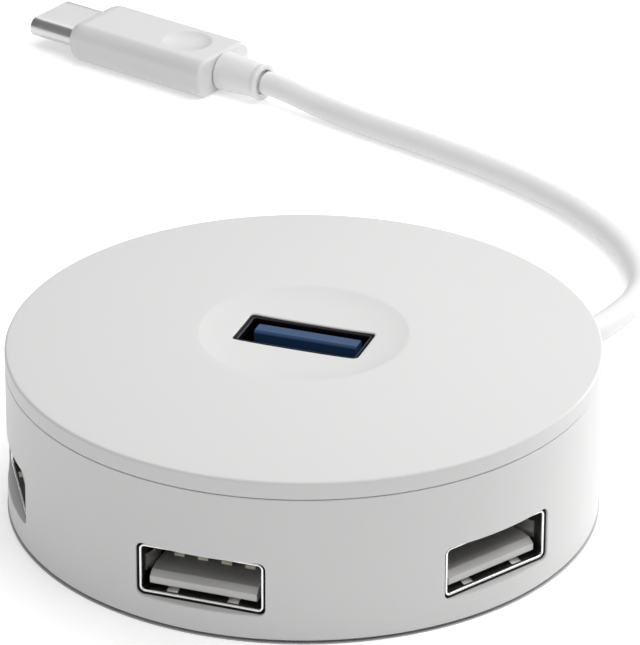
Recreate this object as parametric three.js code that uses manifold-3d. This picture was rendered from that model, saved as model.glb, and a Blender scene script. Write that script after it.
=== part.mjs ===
// Round desktop USB hub: a domed cover on a low cylindrical housing, three USB 2.0 sockets round the
// side, one upright USB 3.0 socket in a dished recess on top, and a short captive cable that ends in a
// USB-C plug. Millimetres, +Z up. The origin is the centre of the base, on the surface it stands on,
// and the middle side socket faces -Y.
import * as THREE from "three";
import { mergeVertices } from "three/addons/utils/BufferGeometryUtils.js";
import Module from "manifold-3d";

const wasm = await Module();
wasm.setup();

// ---- Driving dimensions, mm ----
const BODY_RADIUS = 30.5;
const BODY_BOTTOM = 0.3; // the housing stands clear of the table on its anti-slip pad
const SEAM_Z = 16.05; // split line between the housing and the cover
const RIM_TOP_Z = 17.9; // where the cover's rim turns into its dome
const DOME_RISE = 1.22; // rise of the dome from the rim to its virtual crown
const DISH_RADIUS = 10.8; // round dish that surrounds the top socket
const DISH_DEPTH = 0.5;
const DISH_POWER = 4; // a flat middle with steeper sides
const WALL = 1.6;
const ROUND_SEGMENTS = 64; // facets round the casing

const INNER_RADIUS = BODY_RADIUS - WALL;
const CEILING_Z = 16.2; // flat underside of the cover
const SEAM_GAP = 0.12;

const BASE_RADIUS = 29.0;
const BASE_TOP_Z = 1.8;
const PAD_RADIUS = 27.3; // covers the screw heads
const PAD_TOP_Z = 0.9;
const BOARD_RADIUS = 26.4;
const BOARD_BOTTOM_Z = 2.1;
const BOARD_TOP_Z = 3.1;
const ON_BOARD_Z = BOARD_TOP_Z + 0.05; // underside of what stands on the board

const SCREW_CIRCLE = 24.6;
const SCREW_ANGLES = [30, -30, 115, -115]; // degrees from -Y towards +X
const BOSS_RADIUS = 2.3;

const SIDE_SOCKETS = { left: -60, front: 0, right: 60 }; // degrees from -Y towards +X
const SHELL_WIDTH = 13.1; // standard USB-A socket shell, outside
const SHELL_HEIGHT = 5.4;
const SHELL_WALL = 0.28;
const SHELL_CORNER = 0.65; // outside radius of a shell's corners
const SHELL_DEPTH = 13.6;
const CUTOUT_MARGIN = 0.22; // gap between a shell and its opening in the casing
const SIDE_SOCKET_FACE = 29.55; // distance of a side shell's front edge from the axis
const SIDE_SOCKET_Z = 5.85; // height of a side socket's centre line
const TONGUE_WIDTH = 11.3;
const TONGUE_THICKNESS = 1.54; // of a side socket's tongue
const TONGUE_NOSE = 0.7; // height and depth of the bevel along its upper front edge
const CONTACT_PITCH = 2.5;

const TOP_SHELL_HEIGHT = 5.65; // the upright shell's short side
const TOP_SHELL_Z = 18.38; // its upper edge
const TOP_TONGUE_THICKNESS = 1.84;
const TOP_TONGUE_Y = 1.18; // the tongue stands off centre, away from the contacts' side
const TOP_TONGUE_Z = 18.1;

const CABLE_RADIUS = 1.45;
const CABLE_ANGLE = 158; // where the cable leaves, degrees from -Y towards +X
const CABLE_EXIT_Z = 4.6;
const RELIEF_INNER = 26.6; // distances of the strain relief's two ends from the axis
const RELIEF_TIP = 32.5;
const JOIN_GAP = 0.3; // between the cable and what it runs into

const PLUG_TIP = [-70.7, 102.4]; // middle of the plug's open end, in plan
const PLUG_HEADING = 163.4; // direction the plug points in, degrees from +X
const PLUG_AXIS_Z = 2.5;
const PLUG_SHELL = { width: 8.25, height: 2.4, length: 6.55, wall: 0.25 };
const OVERMOLD = { width: 10.2, height: 4.9, length: 20.6, corner: 1.75 };
const SLEEVE = { length: 6.2, radius: 2.42, endRadius: 2.12, collarRadius: 2.3, collarLength: 0.6 };

// ---- Finishes ----
const FINISHES = {
  casing: { color: 0xe9e9e8, roughness: 0.42, metalness: 0 },
  pad: { color: 0xb9bbbc, roughness: 0.85, metalness: 0 },
  nickel: { color: 0xc9c8c4, roughness: 0.25, metalness: 1 },
  darkNickel: { color: 0x2c2d30, roughness: 0.35, metalness: 1 },
  paleTongue: { color: 0xc9c8c5, roughness: 0.5, metalness: 0 },
  blueTongue: { color: 0x1c5392, roughness: 0.4, metalness: 0 },
  gold: { color: 0xd8c9a0, roughness: 0.3, metalness: 1 },
  board: { color: 0x1f5b3a, roughness: 0.5, metalness: 0 },
  chip: { color: 0x17181a, roughness: 0.6, metalness: 0 },
  ceramic: { color: 0x9a7c58, roughness: 0.6, metalness: 0 },
  steel: { color: 0xa9abad, roughness: 0.35, metalness: 1 },
  cable: { color: 0xe2e2e1, roughness: 0.5, metalness: 0 },
};

const radians = THREE.MathUtils.degToRad;
const hub = new THREE.Group();

function addPiece(name, geometry, finish, parent = hub) {
  const mesh = new THREE.Mesh(geometry, new THREE.MeshStandardMaterial(FINISHES[finish]));
  mesh.name = name;
  parent.add(mesh);
  return mesh;
}

function turnedGroup(angle, parent = hub) {
  const group = new THREE.Group();
  group.rotation.z = radians(angle);
  parent.add(group);
  return group;
}

// ---- Solids and booleans ----
function toSolid(geometry) {
  const bare = geometry.clone();
  bare.deleteAttribute("normal");
  bare.deleteAttribute("uv");
  const merged = mergeVertices(bare, 1e-4);
  return new wasm.Manifold(
    new wasm.Mesh({
      numProp: 3,
      vertProperties: merged.attributes.position.array,
      triVerts: new Uint32Array(merged.index.array),
    }),
  );
}

function toGeometry(solid) {
  const mesh = solid.getMesh();
  const geometry = new THREE.BufferGeometry();
  geometry.setAttribute("position", new THREE.BufferAttribute(mesh.vertProperties, 3));
  geometry.setIndex(new THREE.BufferAttribute(mesh.triVerts, 1));
  geometry.computeVertexNormals();
  return geometry;
}

const cut = (body, ...tools) =>
  toGeometry(tools.reduce((left, tool) => left.subtract(toSolid(tool)), toSolid(body)));
const join = (body, ...others) =>
  toGeometry(others.reduce((whole, other) => whole.add(toSolid(other)), toSolid(body)));

// ---- Plain shapes ----
function box(x0, x1, y0, y1, z0, z1) {
  const geometry = new THREE.BoxGeometry(x1 - x0, y1 - y0, z1 - z0);
  return geometry.translate((x0 + x1) / 2, (y0 + y1) / 2, (z0 + z1) / 2);
}

function disc(radius, z0, z1, segments = ROUND_SEGMENTS) {
  const geometry = new THREE.CylinderGeometry(radius, radius, z1 - z0, segments);
  return geometry.rotateX(Math.PI / 2).translate(0, 0, (z0 + z1) / 2);
}

// Turns a profile of [radius, z] points about the Z axis. It runs anticlockwise, seen with +X right.
function turned(profile, segments = ROUND_SEGMENTS) {
  const points = profile.map(([radius, z]) => new THREE.Vector2(radius, z));
  return new THREE.LatheGeometry(points, segments).rotateX(Math.PI / 2);
}

function roundedRectangle(width, height, corner) {
  const shape = new THREE.Shape();
  const x = width / 2 - corner;
  const y = height / 2 - corner;
  shape.absarc(x, y, corner, 0, Math.PI / 2);
  shape.absarc(-x, y, corner, Math.PI / 2, Math.PI);
  shape.absarc(-x, -y, corner, Math.PI, 1.5 * Math.PI);
  shape.absarc(x, -y, corner, 1.5 * Math.PI, 2 * Math.PI);
  return shape;
}

// Extrudes a shape along +Z from z0 to z1.
function prism(shape, z0, z1, curveSegments = 4) {
  const settings = { depth: z1 - z0, bevelEnabled: false, curveSegments };
  return new THREE.ExtrudeGeometry(shape, settings).translate(0, 0, z0);
}

// Extrudes a side outline of [y, z] points across X, centred on x.
function slab(outline, x, width) {
  const shape = new THREE.Shape(outline.map(([y, z]) => new THREE.Vector2(y, z)));
  const across = new THREE.ExtrudeGeometry(shape, { depth: width, bevelEnabled: false });
  const turn = new THREE.Matrix4().makeBasis(
    new THREE.Vector3(0, 1, 0),
    new THREE.Vector3(0, 0, 1),
    new THREE.Vector3(1, 0, 0),
  );
  return across.applyMatrix4(turn).translate(x - width / 2, 0, 0);
}

// ---- Casing ----
const domeZ = (radius) => RIM_TOP_Z + DOME_RISE * (1 - (radius / BODY_RADIUS) ** 2);
const dishZ = (radius) =>
  domeZ(DISH_RADIUS) - DISH_DEPTH * (1 - (radius / DISH_RADIUS) ** DISH_POWER);

function screwPlaces() {
  return SCREW_ANGLES.map((angle) => {
    const a = radians(angle);
    return [SCREW_CIRCLE * Math.sin(a), -SCREW_CIRCLE * Math.cos(a)];
  });
}

function coverProfile() {
  const skirtOuter = INNER_RADIUS - 0.3;
  const skirtInner = skirtOuter - 1.0;
  const skirtBottom = SEAM_Z - 1.6;
  const edge = 0.4; // rounded upper edge of the rim
  const profile = [
    [0, CEILING_Z],
    [skirtInner, CEILING_Z],
    [skirtInner, skirtBottom],
    [skirtOuter, skirtBottom],
    [skirtOuter, SEAM_Z + SEAM_GAP / 2],
    [BODY_RADIUS - 0.1, SEAM_Z + SEAM_GAP / 2],
    [BODY_RADIUS, SEAM_Z + 0.2],
    [BODY_RADIUS, RIM_TOP_Z - edge],
    [BODY_RADIUS - edge * 0.3, RIM_TOP_Z - edge * 0.3],
  ];
  const domeSteps = 6;
  for (let i = 0; i <= domeSteps; i++) {
    const radius = BODY_RADIUS - edge + ((DISH_RADIUS - BODY_RADIUS + edge) * i) / domeSteps;
    profile.push([radius, domeZ(radius)]);
  }
  const dishSteps = 4;
  for (let i = 1; i <= dishSteps; i++) {
    const radius = DISH_RADIUS * (1 - i / dishSteps);
    profile.push([radius, dishZ(radius)]);
  }
  return profile;
}

function makeCover() {
  const bossBottom = BASE_TOP_Z + 0.3;
  const pilotRadius = 0.95;
  const pilotDepth = 6.5;
  const bosses = [];
  const pilots = [];
  for (const [x, y] of screwPlaces()) {
    bosses.push(disc(BOSS_RADIUS, bossBottom, CEILING_Z + 0.5, 20).translate(x, y, 0));
    pilots.push(disc(pilotRadius, bossBottom - 1, bossBottom + pilotDepth, 12).translate(x, y, 0));
  }
  const slotWidth = SHELL_WIDTH + 2 * CUTOUT_MARGIN;
  const slotHeight = TOP_SHELL_HEIGHT + 2 * CUTOUT_MARGIN;
  const slot = prism(roundedRectangle(slotWidth, slotHeight, 0.5), CEILING_Z - 1, RIM_TOP_Z + 3);
  addPiece("top_cover", cut(join(turned(coverProfile()), ...bosses), slot, ...pilots), "casing");
}

function makeHousing() {
  const ledgeRadius = INNER_RADIUS - 1.0;
  const seatRadius = BASE_RADIUS + 0.25;
  const top = SEAM_Z - SEAM_GAP / 2;
  const wall = turned([
    [seatRadius, BODY_BOTTOM],
    [BODY_RADIUS - 0.2, BODY_BOTTOM],
    [BODY_RADIUS, BODY_BOTTOM + 0.2],
    [BODY_RADIUS, top - 0.1],
    [BODY_RADIUS - 0.1, top],
    [INNER_RADIUS, top],
    [INNER_RADIUS, BOARD_TOP_Z],
    [ledgeRadius, BOARD_TOP_Z - 0.6],
    [ledgeRadius, BASE_TOP_Z + 0.1],
    [seatRadius, BASE_TOP_Z + 0.1],
    [seatRadius, BODY_BOTTOM],
  ]);
  const opening = roundedRectangle(
    SHELL_WIDTH + 2 * CUTOUT_MARGIN,
    SHELL_HEIGHT + 2 * CUTOUT_MARGIN,
    0.75,
  );
  const cutouts = Object.values(SIDE_SOCKETS).map((angle) =>
    prism(opening, BODY_RADIUS - 6, BODY_RADIUS + 2)
      .rotateX(Math.PI / 2)
      .translate(0, 0, SIDE_SOCKET_Z)
      .rotateZ(radians(angle)),
  );
  const cableHoleRadius = 2.45;
  const cableHole = disc(cableHoleRadius, BODY_RADIUS - 6, BODY_RADIUS + 2, 20)
    .rotateX(Math.PI / 2)
    .translate(0, 0, CABLE_EXIT_Z)
    .rotateZ(radians(CABLE_ANGLE));
  addPiece("side_housing", cut(wall, ...cutouts, cableHole), "casing");
}

function makeBase() {
  const padSeat = disc(PAD_RADIUS + 0.25, BODY_BOTTOM - 1, PAD_TOP_Z + 0.05, 48);
  const holes = screwPlaces().flatMap(([x, y]) => [
    disc(1.15, 0, BASE_TOP_Z + 1, 16).translate(x, y, 0),
    disc(2.15, 0, 1.4, 16).translate(x, y, 0),
  ]);
  addPiece("base_plate", cut(disc(BASE_RADIUS, BODY_BOTTOM, BASE_TOP_Z), padSeat, ...holes), "casing");
  addPiece("anti_slip_pad", disc(PAD_RADIUS, 0, PAD_TOP_Z, 48), "pad");
}

function makeScrews() {
  const headBottom = PAD_TOP_Z + 0.07;
  const headTop = headBottom + 0.36;
  const headRadius = 1.8;
  const shankRadius = 0.8;
  const tipZ = 7.8;
  const recess = [
    box(-0.9, 0.9, -0.15, 0.15, 0, headBottom + 0.2),
    box(-0.15, 0.15, -0.9, 0.9, 0, headBottom + 0.2),
  ];
  const outline = [
    [0, headBottom],
    [headRadius - 0.3, headBottom],
    [headRadius, headTop - 0.1],
    [headRadius, headTop],
    [shankRadius, headTop],
    [shankRadius, tipZ - 0.6],
    [shankRadius - 0.3, tipZ],
    [0, tipZ],
  ];
  screwPlaces().forEach(([x, y], i) => {
    const screw = addPiece(`case_screw_${i + 1}`, cut(turned(outline, 16), ...recess), "steel");
    screw.position.set(x, y, 0);
  });
}

// ---- Sockets ----
const shellBore = (height) =>
  roundedRectangle(SHELL_WIDTH - 2 * SHELL_WALL, height - 2 * SHELL_WALL, SHELL_CORNER - SHELL_WALL);

function makeSideSocket(name, angle) {
  const group = turnedGroup(angle);
  const front = -SIDE_SOCKET_FACE;
  const floorZ = SIDE_SOCKET_Z - SHELL_HEIGHT / 2 + SHELL_WALL;
  const outer = prism(roundedRectangle(SHELL_WIDTH, SHELL_HEIGHT, SHELL_CORNER), 0, SHELL_DEPTH);
  const inner = prism(shellBore(SHELL_HEIGHT), -1, SHELL_DEPTH + 1);
  const tube = cut(outer, inner)
    .rotateX(-Math.PI / 2)
    .translate(0, front, SIDE_SOCKET_Z);
  // Two leaf springs bulge up from the floor and hold the plug.
  const springs = [-3.2, 3.2].map((x) =>
    slab(
      [
        [front + 0.5, floorZ - 0.1],
        [front + 2.6, floorZ - 0.1],
        [front + 2.0, floorZ + 0.28],
        [front + 1.1, floorZ + 0.28],
      ],
      x,
      1.3,
    ),
  );
  addPiece(`${name}_shell`, join(tube, ...springs), "nickel", group);

  const tongueBottom = floorZ + 0.45;
  const tongueTop = tongueBottom + TONGUE_THICKNESS;
  const tongueFront = front + 0.6;
  const blockFront = front + SHELL_DEPTH - 1.7;
  const blockBack = front + SHELL_DEPTH - 0.1;
  const blockTop = SIDE_SOCKET_Z + SHELL_HEIGHT / 2 - SHELL_WALL - 0.3;
  const insulator = slab(
    [
      [tongueFront, tongueBottom],
      [blockBack, tongueBottom],
      [blockBack, blockTop],
      [blockFront, blockTop],
      [blockFront, tongueTop],
      [tongueFront + TONGUE_NOSE, tongueTop],
      [tongueFront, tongueTop - TONGUE_NOSE],
    ],
    0,
    TONGUE_WIDTH,
  );
  addPiece(`${name}_insulator`, insulator, "paleTongue", group);

  for (let i = 0; i < 4; i++) {
    const contact = contactStrip(front + 3.9, blockFront - 0.1, tongueTop + 0.08);
    const strip = slab(contact, (i - 1.5) * CONTACT_PITCH, 1.1);
    addPiece(`${name}_contact_${i + 1}`, strip, "gold", group);
  }
}

// Side outline of a spring contact that lies on a tongue from y0 to y1 and arches up near its tip.
function contactStrip(y0, y1, z) {
  const thickness = 0.18;
  const arch = 0.5;
  const line = [
    [y0, z],
    [y0 + 0.2, z + arch * 0.7],
    [y0 + 0.6, z + arch],
    [y0 + 1.4, z + arch * 0.6],
    [y0 + 2.4, z],
    [y1, z],
  ];
  const back = line.map(([y, height]) => [y, height + thickness]).reverse();
  return [...line, ...back];
}

function makeTopSocket() {
  const outline = roundedRectangle(SHELL_WIDTH, TOP_SHELL_HEIGHT, SHELL_CORNER);
  const outer = prism(outline, ON_BOARD_Z, TOP_SHELL_Z);
  const inner = prism(shellBore(TOP_SHELL_HEIGHT), ON_BOARD_Z - 1, TOP_SHELL_Z + 1);
  addPiece("top_socket_shell", cut(outer, inner), "darkNickel");

  const blockTop = 5.4;
  const faceY = TOP_TONGUE_Y - TOP_TONGUE_THICKNESS / 2;
  const backY = TOP_TONGUE_Y + TOP_TONGUE_THICKNESS / 2;
  const blockY = TOP_SHELL_HEIGHT / 2 - SHELL_WALL - 0.1;
  const insulator = slab(
    [
      [-blockY, ON_BOARD_Z + 0.1],
      [blockY, ON_BOARD_Z + 0.1],
      [blockY, blockTop],
      [backY, blockTop],
      [backY, TOP_TONGUE_Z - 0.25],
      [backY - 0.2, TOP_TONGUE_Z],
      [faceY + 0.2, TOP_TONGUE_Z],
      [faceY, TOP_TONGUE_Z - 0.25],
      [faceY, blockTop],
      [-blockY, blockTop],
    ],
    0,
    TONGUE_WIDTH,
  );
  addPiece("top_socket_insulator", insulator, "blueTongue");

  // Four springs for USB 2.0 lie lower on the tongue, five flat pads for USB 3.0 near its tip.
  const contactY = faceY - 0.08;
  const springTipZ = 14.4;
  const padPitch = 2.1;
  const pad = { width: 0.8, thickness: 0.12, bottom: 14.9, top: 16.5 };
  for (let i = 0; i < 4; i++) {
    const x = (i - 1.5) * CONTACT_PITCH;
    const lying = contactStrip(-springTipZ, -blockTop - 0.1, -contactY);
    const upright = lying.map(([y, z]) => [-z, -y]).reverse();
    addPiece(`top_socket_contact_${i + 1}`, slab(upright, x, 1.0), "gold");
  }
  for (let i = 0; i < 5; i++) {
    const x = (i - 2) * padPitch;
    const plate = box(-pad.width / 2, pad.width / 2, -pad.thickness, 0, pad.bottom, pad.top);
    addPiece(`top_socket_pad_${i + 1}`, plate.translate(x, contactY, 0), "gold");
  }
}

// ---- Circuit board and what stands on it ----
function makeBoard() {
  const notches = screwPlaces().map(([x, y]) =>
    disc(BOSS_RADIUS + 0.4, BOARD_BOTTOM_Z - 1, BOARD_TOP_Z + 1, 20).translate(x, y, 0),
  );
  const plate = disc(BOARD_RADIUS, BOARD_BOTTOM_Z, BOARD_TOP_Z, 48);
  addPiece("main_board", cut(plate, ...notches), "board");
}

function makeComponents() {
  const blocks = [
    ["hub_controller_chip", "chip", [-10, 11], [7, 7, 0.9]],
    ["crystal", "steel", [-10, 19], [5, 3.2, 1.1]],
    ["power_regulator", "chip", [17, 5], [6.5, 3.5, 1.6]],
    ["resettable_fuse", "ceramic", [17, 11], [4.5, 3.2, 0.8]],
    ["filter_capacitor_1", "ceramic", [-2.5, 8], [3.2, 1.6, 1.2]],
    ["filter_capacitor_2", "ceramic", [-2.5, 12], [3.2, 1.6, 1.2]],
    ["filter_capacitor_3", "ceramic", [-19, 6], [1.6, 3.2, 1.2]],
  ];
  for (const [name, finish, [x, y], [width, depth, height]] of blocks) {
    const block = box(-width / 2, width / 2, -depth / 2, depth / 2, 0, height);
    addPiece(name, block, finish).position.set(x, y, ON_BOARD_Z);
  }
  const can = turned(
    [
      [0, 0],
      [2.5, 0],
      [2.5, 5.2],
      [2.2, 5.4],
      [0, 5.4],
    ],
    20,
  );
  addPiece("bulk_capacitor", can, "steel").position.set(-1.5, 21, ON_BOARD_Z);
}

// ---- Cable entry, cable and plug ----
function makeCableEntry() {
  const group = turnedGroup(CABLE_ANGLE);
  const relief = turned(
    [
      [0, RELIEF_INNER],
      [2.6, RELIEF_INNER],
      [2.6, RELIEF_INNER + 1.2],
      [2.15, RELIEF_INNER + 1.2],
      [2.15, BODY_RADIUS + 0.2],
      [1.8, RELIEF_TIP],
      [0, RELIEF_TIP],
    ],
    20,
  );
  relief.rotateX(Math.PI / 2).translate(0, 0, CABLE_EXIT_Z);
  addPiece("cable_strain_relief", relief, "cable", group);

  const headerFront = 18.6;
  const tail = disc(1.3, headerFront + JOIN_GAP, RELIEF_INNER - JOIN_GAP, 12);
  tail.rotateX(Math.PI / 2).translate(0, 0, CABLE_EXIT_Z);
  addPiece("inner_cable", tail, "cable", group);
  const header = box(-3, 3, -headerFront, -headerFront + 3.6, ON_BOARD_Z, CABLE_EXIT_Z + 1.6);
  addPiece("cable_header", header, "paleTongue", group);

  // The clamp is an upturned U over the cable, with its feet on the board.
  const saddle = new THREE.Shape();
  const innerRadius = 1.65;
  const outerRadius = 2.4;
  saddle.moveTo(-outerRadius, ON_BOARD_Z);
  saddle.lineTo(-innerRadius, ON_BOARD_Z);
  saddle.lineTo(-innerRadius, CABLE_EXIT_Z);
  saddle.absarc(0, CABLE_EXIT_Z, innerRadius, Math.PI, 0, true);
  saddle.lineTo(innerRadius, ON_BOARD_Z);
  saddle.lineTo(outerRadius, ON_BOARD_Z);
  saddle.lineTo(outerRadius, CABLE_EXIT_Z);
  saddle.absarc(0, CABLE_EXIT_Z, outerRadius, 0, Math.PI);
  const clamp = new THREE.ExtrudeGeometry(saddle, { depth: 1.8, bevelEnabled: false, curveSegments: 8 });
  clamp.rotateX(Math.PI / 2).translate(0, -21.2, 0);
  addPiece("cable_clamp", clamp, "steel", group);
}

// The cable's route, from the strain relief to the plug's sleeve: straight out, down onto the table,
// round in one loose bend, and up a little to the plug's axis.
function cablePoints() {
  const a = radians(CABLE_ANGLE);
  const out = (distance, z) =>
    new THREE.Vector3(distance * Math.sin(a), -distance * Math.cos(a), z);
  const onTable = [
    [19.2, 48.9],
    [19.8, 52.5],
    [19.6, 56.2],
    [18.3, 60.0],
    [16.1, 63.9],
    [12.8, 68.0],
    [8.9, 71.7],
    [4.2, 75.2],
    [-1.6, 78.6],
    [-8.8, 82.0],
    [-16.4, 85.0],
    [-24.0, 87.8],
  ];
  const along = new THREE.Vector3(Math.cos(radians(PLUG_HEADING)), Math.sin(radians(PLUG_HEADING)), 0);
  const plugLength = PLUG_SHELL.length + OVERMOLD.length + SLEEVE.length + JOIN_GAP;
  const end = new THREE.Vector3(...PLUG_TIP, PLUG_AXIS_Z).addScaledVector(along, -plugLength);
  const before = (distance, z) => end.clone().addScaledVector(along, -distance).setZ(z);
  const tableZ = CABLE_RADIUS + 0.02;
  return [
    out(RELIEF_TIP + JOIN_GAP, CABLE_EXIT_Z),
    out(35, 4.5),
    out(38, 3.9),
    out(41.5, 2.8),
    out(45, 1.95),
    out(48, 1.55),
    ...onTable.map(([x, y]) => new THREE.Vector3(x, y, tableZ)),
    before(8, 1.65),
    before(4, 2.2),
    before(1.5, PLUG_AXIS_Z - 0.05),
    end,
  ];
}

function makeCable() {
  const section = new THREE.Shape();
  const sides = 8;
  for (let i = 0; i < sides; i++) {
    const a = (2 * Math.PI * i) / sides;
    const point = [CABLE_RADIUS * Math.cos(a), CABLE_RADIUS * Math.sin(a)];
    if (i === 0) section.moveTo(...point);
    else section.lineTo(...point);
  }
  const path = new THREE.CatmullRomCurve3(cablePoints(), false, "centripetal");
  const tube = new THREE.ExtrudeGeometry(section, { steps: 22, extrudePath: path });
  addPiece("cable", tube, "cable");
}

function stadiumPrism(width, height, z0, z1) {
  return prism(roundedRectangle(width, height, height / 2 - 0.01), z0, z1, 6);
}

// The plug is drawn along +Z from its open end, with +Y as its upper side, and then laid down.
function makePlug() {
  const heading = radians(PLUG_HEADING);
  const group = new THREE.Group();
  const turn = new THREE.Matrix4().makeBasis(
    new THREE.Vector3(Math.sin(heading), -Math.cos(heading), 0),
    new THREE.Vector3(0, 0, 1),
    new THREE.Vector3(-Math.cos(heading), -Math.sin(heading), 0),
  );
  group.quaternion.setFromRotationMatrix(turn);
  group.position.set(...PLUG_TIP, PLUG_AXIS_Z);
  hub.add(group);

  const { width, height, length, wall } = PLUG_SHELL;
  const tube = cut(
    stadiumPrism(width, height, 0, length - 0.1),
    stadiumPrism(width - 2 * wall, height - 2 * wall, -1, length + 1),
  );
  addPiece("plug_shell", tube, "nickel", group);
  const insertHeight = height - 2 * wall - 0.2;
  const insert = stadiumPrism(width - 2 * wall - 0.2, insertHeight, 4.2, length - 0.1);
  addPiece("plug_insert", insert, "chip", group);

  const bevel = 0.7;
  const core = roundedRectangle(
    OVERMOLD.width - 2 * bevel,
    OVERMOLD.height - 2 * bevel,
    OVERMOLD.corner - bevel,
  );
  const grip = new THREE.ExtrudeGeometry(core, {
    depth: OVERMOLD.length - 2.4,
    bevelThickness: 1.2,
    bevelSize: bevel,
    bevelSegments: 2,
    curveSegments: 3,
  });
  grip.translate(0, 0, length + 1.2);
  const dimpleRadius = 3.0;
  const dimpleDepth = 0.5;
  const ball = (dimpleRadius ** 2 + dimpleDepth ** 2) / (2 * dimpleDepth);
  const dimple = new THREE.SphereGeometry(ball, 48, 32).translate(
    0,
    OVERMOLD.height / 2 + ball - dimpleDepth,
    length + OVERMOLD.length - 5.6,
  );
  addPiece("plug_overmold", cut(grip, dimple), "cable", group);

  const start = length + OVERMOLD.length + 0.1;
  const end = length + OVERMOLD.length + SLEEVE.length;
  const sleeve = turned(
    [
      [0, start],
      [SLEEVE.radius, start],
      [SLEEVE.endRadius, end - SLEEVE.collarLength],
      [SLEEVE.collarRadius, end - SLEEVE.collarLength],
      [SLEEVE.collarRadius, end],
      [0, end],
    ],
    24,
  );
  addPiece("plug_sleeve", sleeve, "cable", group);
}

makeCover();
makeHousing();
makeBase();
makeScrews();
makeBoard();
for (const [side, angle] of Object.entries(SIDE_SOCKETS)) makeSideSocket(`${side}_socket`, angle);
makeTopSocket();
makeComponents();
makeCableEntry();
makeCable();
makePlug();

export default hub;
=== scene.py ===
"""The looks of a round desktop USB hub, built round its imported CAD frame. Metres, +Z up."""
import math

import bmesh
import bpy
from mathutils import Matrix, Vector


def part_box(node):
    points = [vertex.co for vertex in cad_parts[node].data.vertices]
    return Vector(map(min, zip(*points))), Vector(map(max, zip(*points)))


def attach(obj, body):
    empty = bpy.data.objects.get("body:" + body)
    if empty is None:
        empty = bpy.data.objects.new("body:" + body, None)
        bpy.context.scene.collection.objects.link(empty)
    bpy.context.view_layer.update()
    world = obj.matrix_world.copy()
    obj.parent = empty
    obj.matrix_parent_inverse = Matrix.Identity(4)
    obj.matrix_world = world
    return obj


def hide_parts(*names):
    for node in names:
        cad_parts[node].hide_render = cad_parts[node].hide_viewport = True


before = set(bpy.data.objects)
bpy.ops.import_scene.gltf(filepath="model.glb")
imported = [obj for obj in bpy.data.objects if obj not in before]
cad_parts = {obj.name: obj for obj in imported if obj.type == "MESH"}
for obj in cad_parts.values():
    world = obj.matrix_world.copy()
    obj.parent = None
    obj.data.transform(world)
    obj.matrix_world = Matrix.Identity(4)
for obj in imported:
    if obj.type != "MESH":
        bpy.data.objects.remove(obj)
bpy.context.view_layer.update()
MM = 0.001

# ---- Sizes taken from the frame, in millimetres ----


def box_mm(node):
    """A CAD node's lowest and highest corners, in millimetres."""
    low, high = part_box(node)
    return low / MM, high / MM


HOUSING_LOW, HOUSING_HIGH = box_mm("side_housing")
COVER_HIGH = box_mm("top_cover")[1]
BODY_RADIUS = HOUSING_HIGH.x
BODY_BOTTOM = HOUSING_LOW.z
CAD_SEAM_GAP = 0.12
SEAM_Z = HOUSING_HIGH.z + CAD_SEAM_GAP / 2
SEAM_GAP = 0.045  # the gap drawn here, finer than the CAD's
WALL = 1.6
DOME_RISE = 1.22
DISH_RADIUS = 10.8
DISH_DEPTH = 0.5
DISH_POWER = 4  # a flat middle with steeper sides
RIM_DROP = 1.067  # the rim's top lies this far below the cover's highest point
RIM_TOP_Z = COVER_HIGH.z - RIM_DROP

SHELL_LOW, SHELL_HIGH = box_mm("front_socket_shell")
SHELL_WIDTH = SHELL_HIGH.x - SHELL_LOW.x
SHELL_HEIGHT = SHELL_HIGH.z - SHELL_LOW.z
SHELL_DEPTH = SHELL_HIGH.y - SHELL_LOW.y
SHELL_FACE = -SHELL_LOW.y
SOCKET_Z = (SHELL_LOW.z + SHELL_HIGH.z) / 2
TOP_SHELL_LOW, TOP_SHELL_HIGH = box_mm("top_socket_shell")
TOP_SHELL_HEIGHT = TOP_SHELL_HIGH.y - TOP_SHELL_LOW.y
SHELL_WALL = 0.28
CUTOUT_MARGIN = 0.22  # gap between a shell and its opening in the casing
SIDE_SOCKETS = {"left": -60, "front": 0, "right": 60}  # degrees from -Y towards +X

CABLE_RADIUS = 1.45
CABLE_ANGLE = 158  # where the cable leaves, degrees from -Y towards +X
CABLE_EXIT_Z = 4.6
RELIEF_TIP = 32.5
JOIN_GAP = 0.3  # between the cable and what it runs into
PLUG_TIP = (-70.7, 102.4)
PLUG_HEADING = 163.4  # the way the plug points, degrees from +X
PLUG_AXIS_Z = 2.5
PLUG_SHELL = {"width": 8.25, "height": 2.4, "length": 6.55, "wall": 0.25}
OVERMOLD = {"width": 10.2, "height": 4.9, "length": 20.6, "corner": 1.75}
SLEEVE = {"length": 6.2, "radius": 2.42, "end_radius": 2.12, "collar_radius": 2.3,
          "collar_length": 0.6}

# ---- Mesh helpers: points are in millimetres, as a person reads a drawing ----


SHARP_ANGLE = 35  # edges that bend more than this many degrees are shaded sharp


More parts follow.
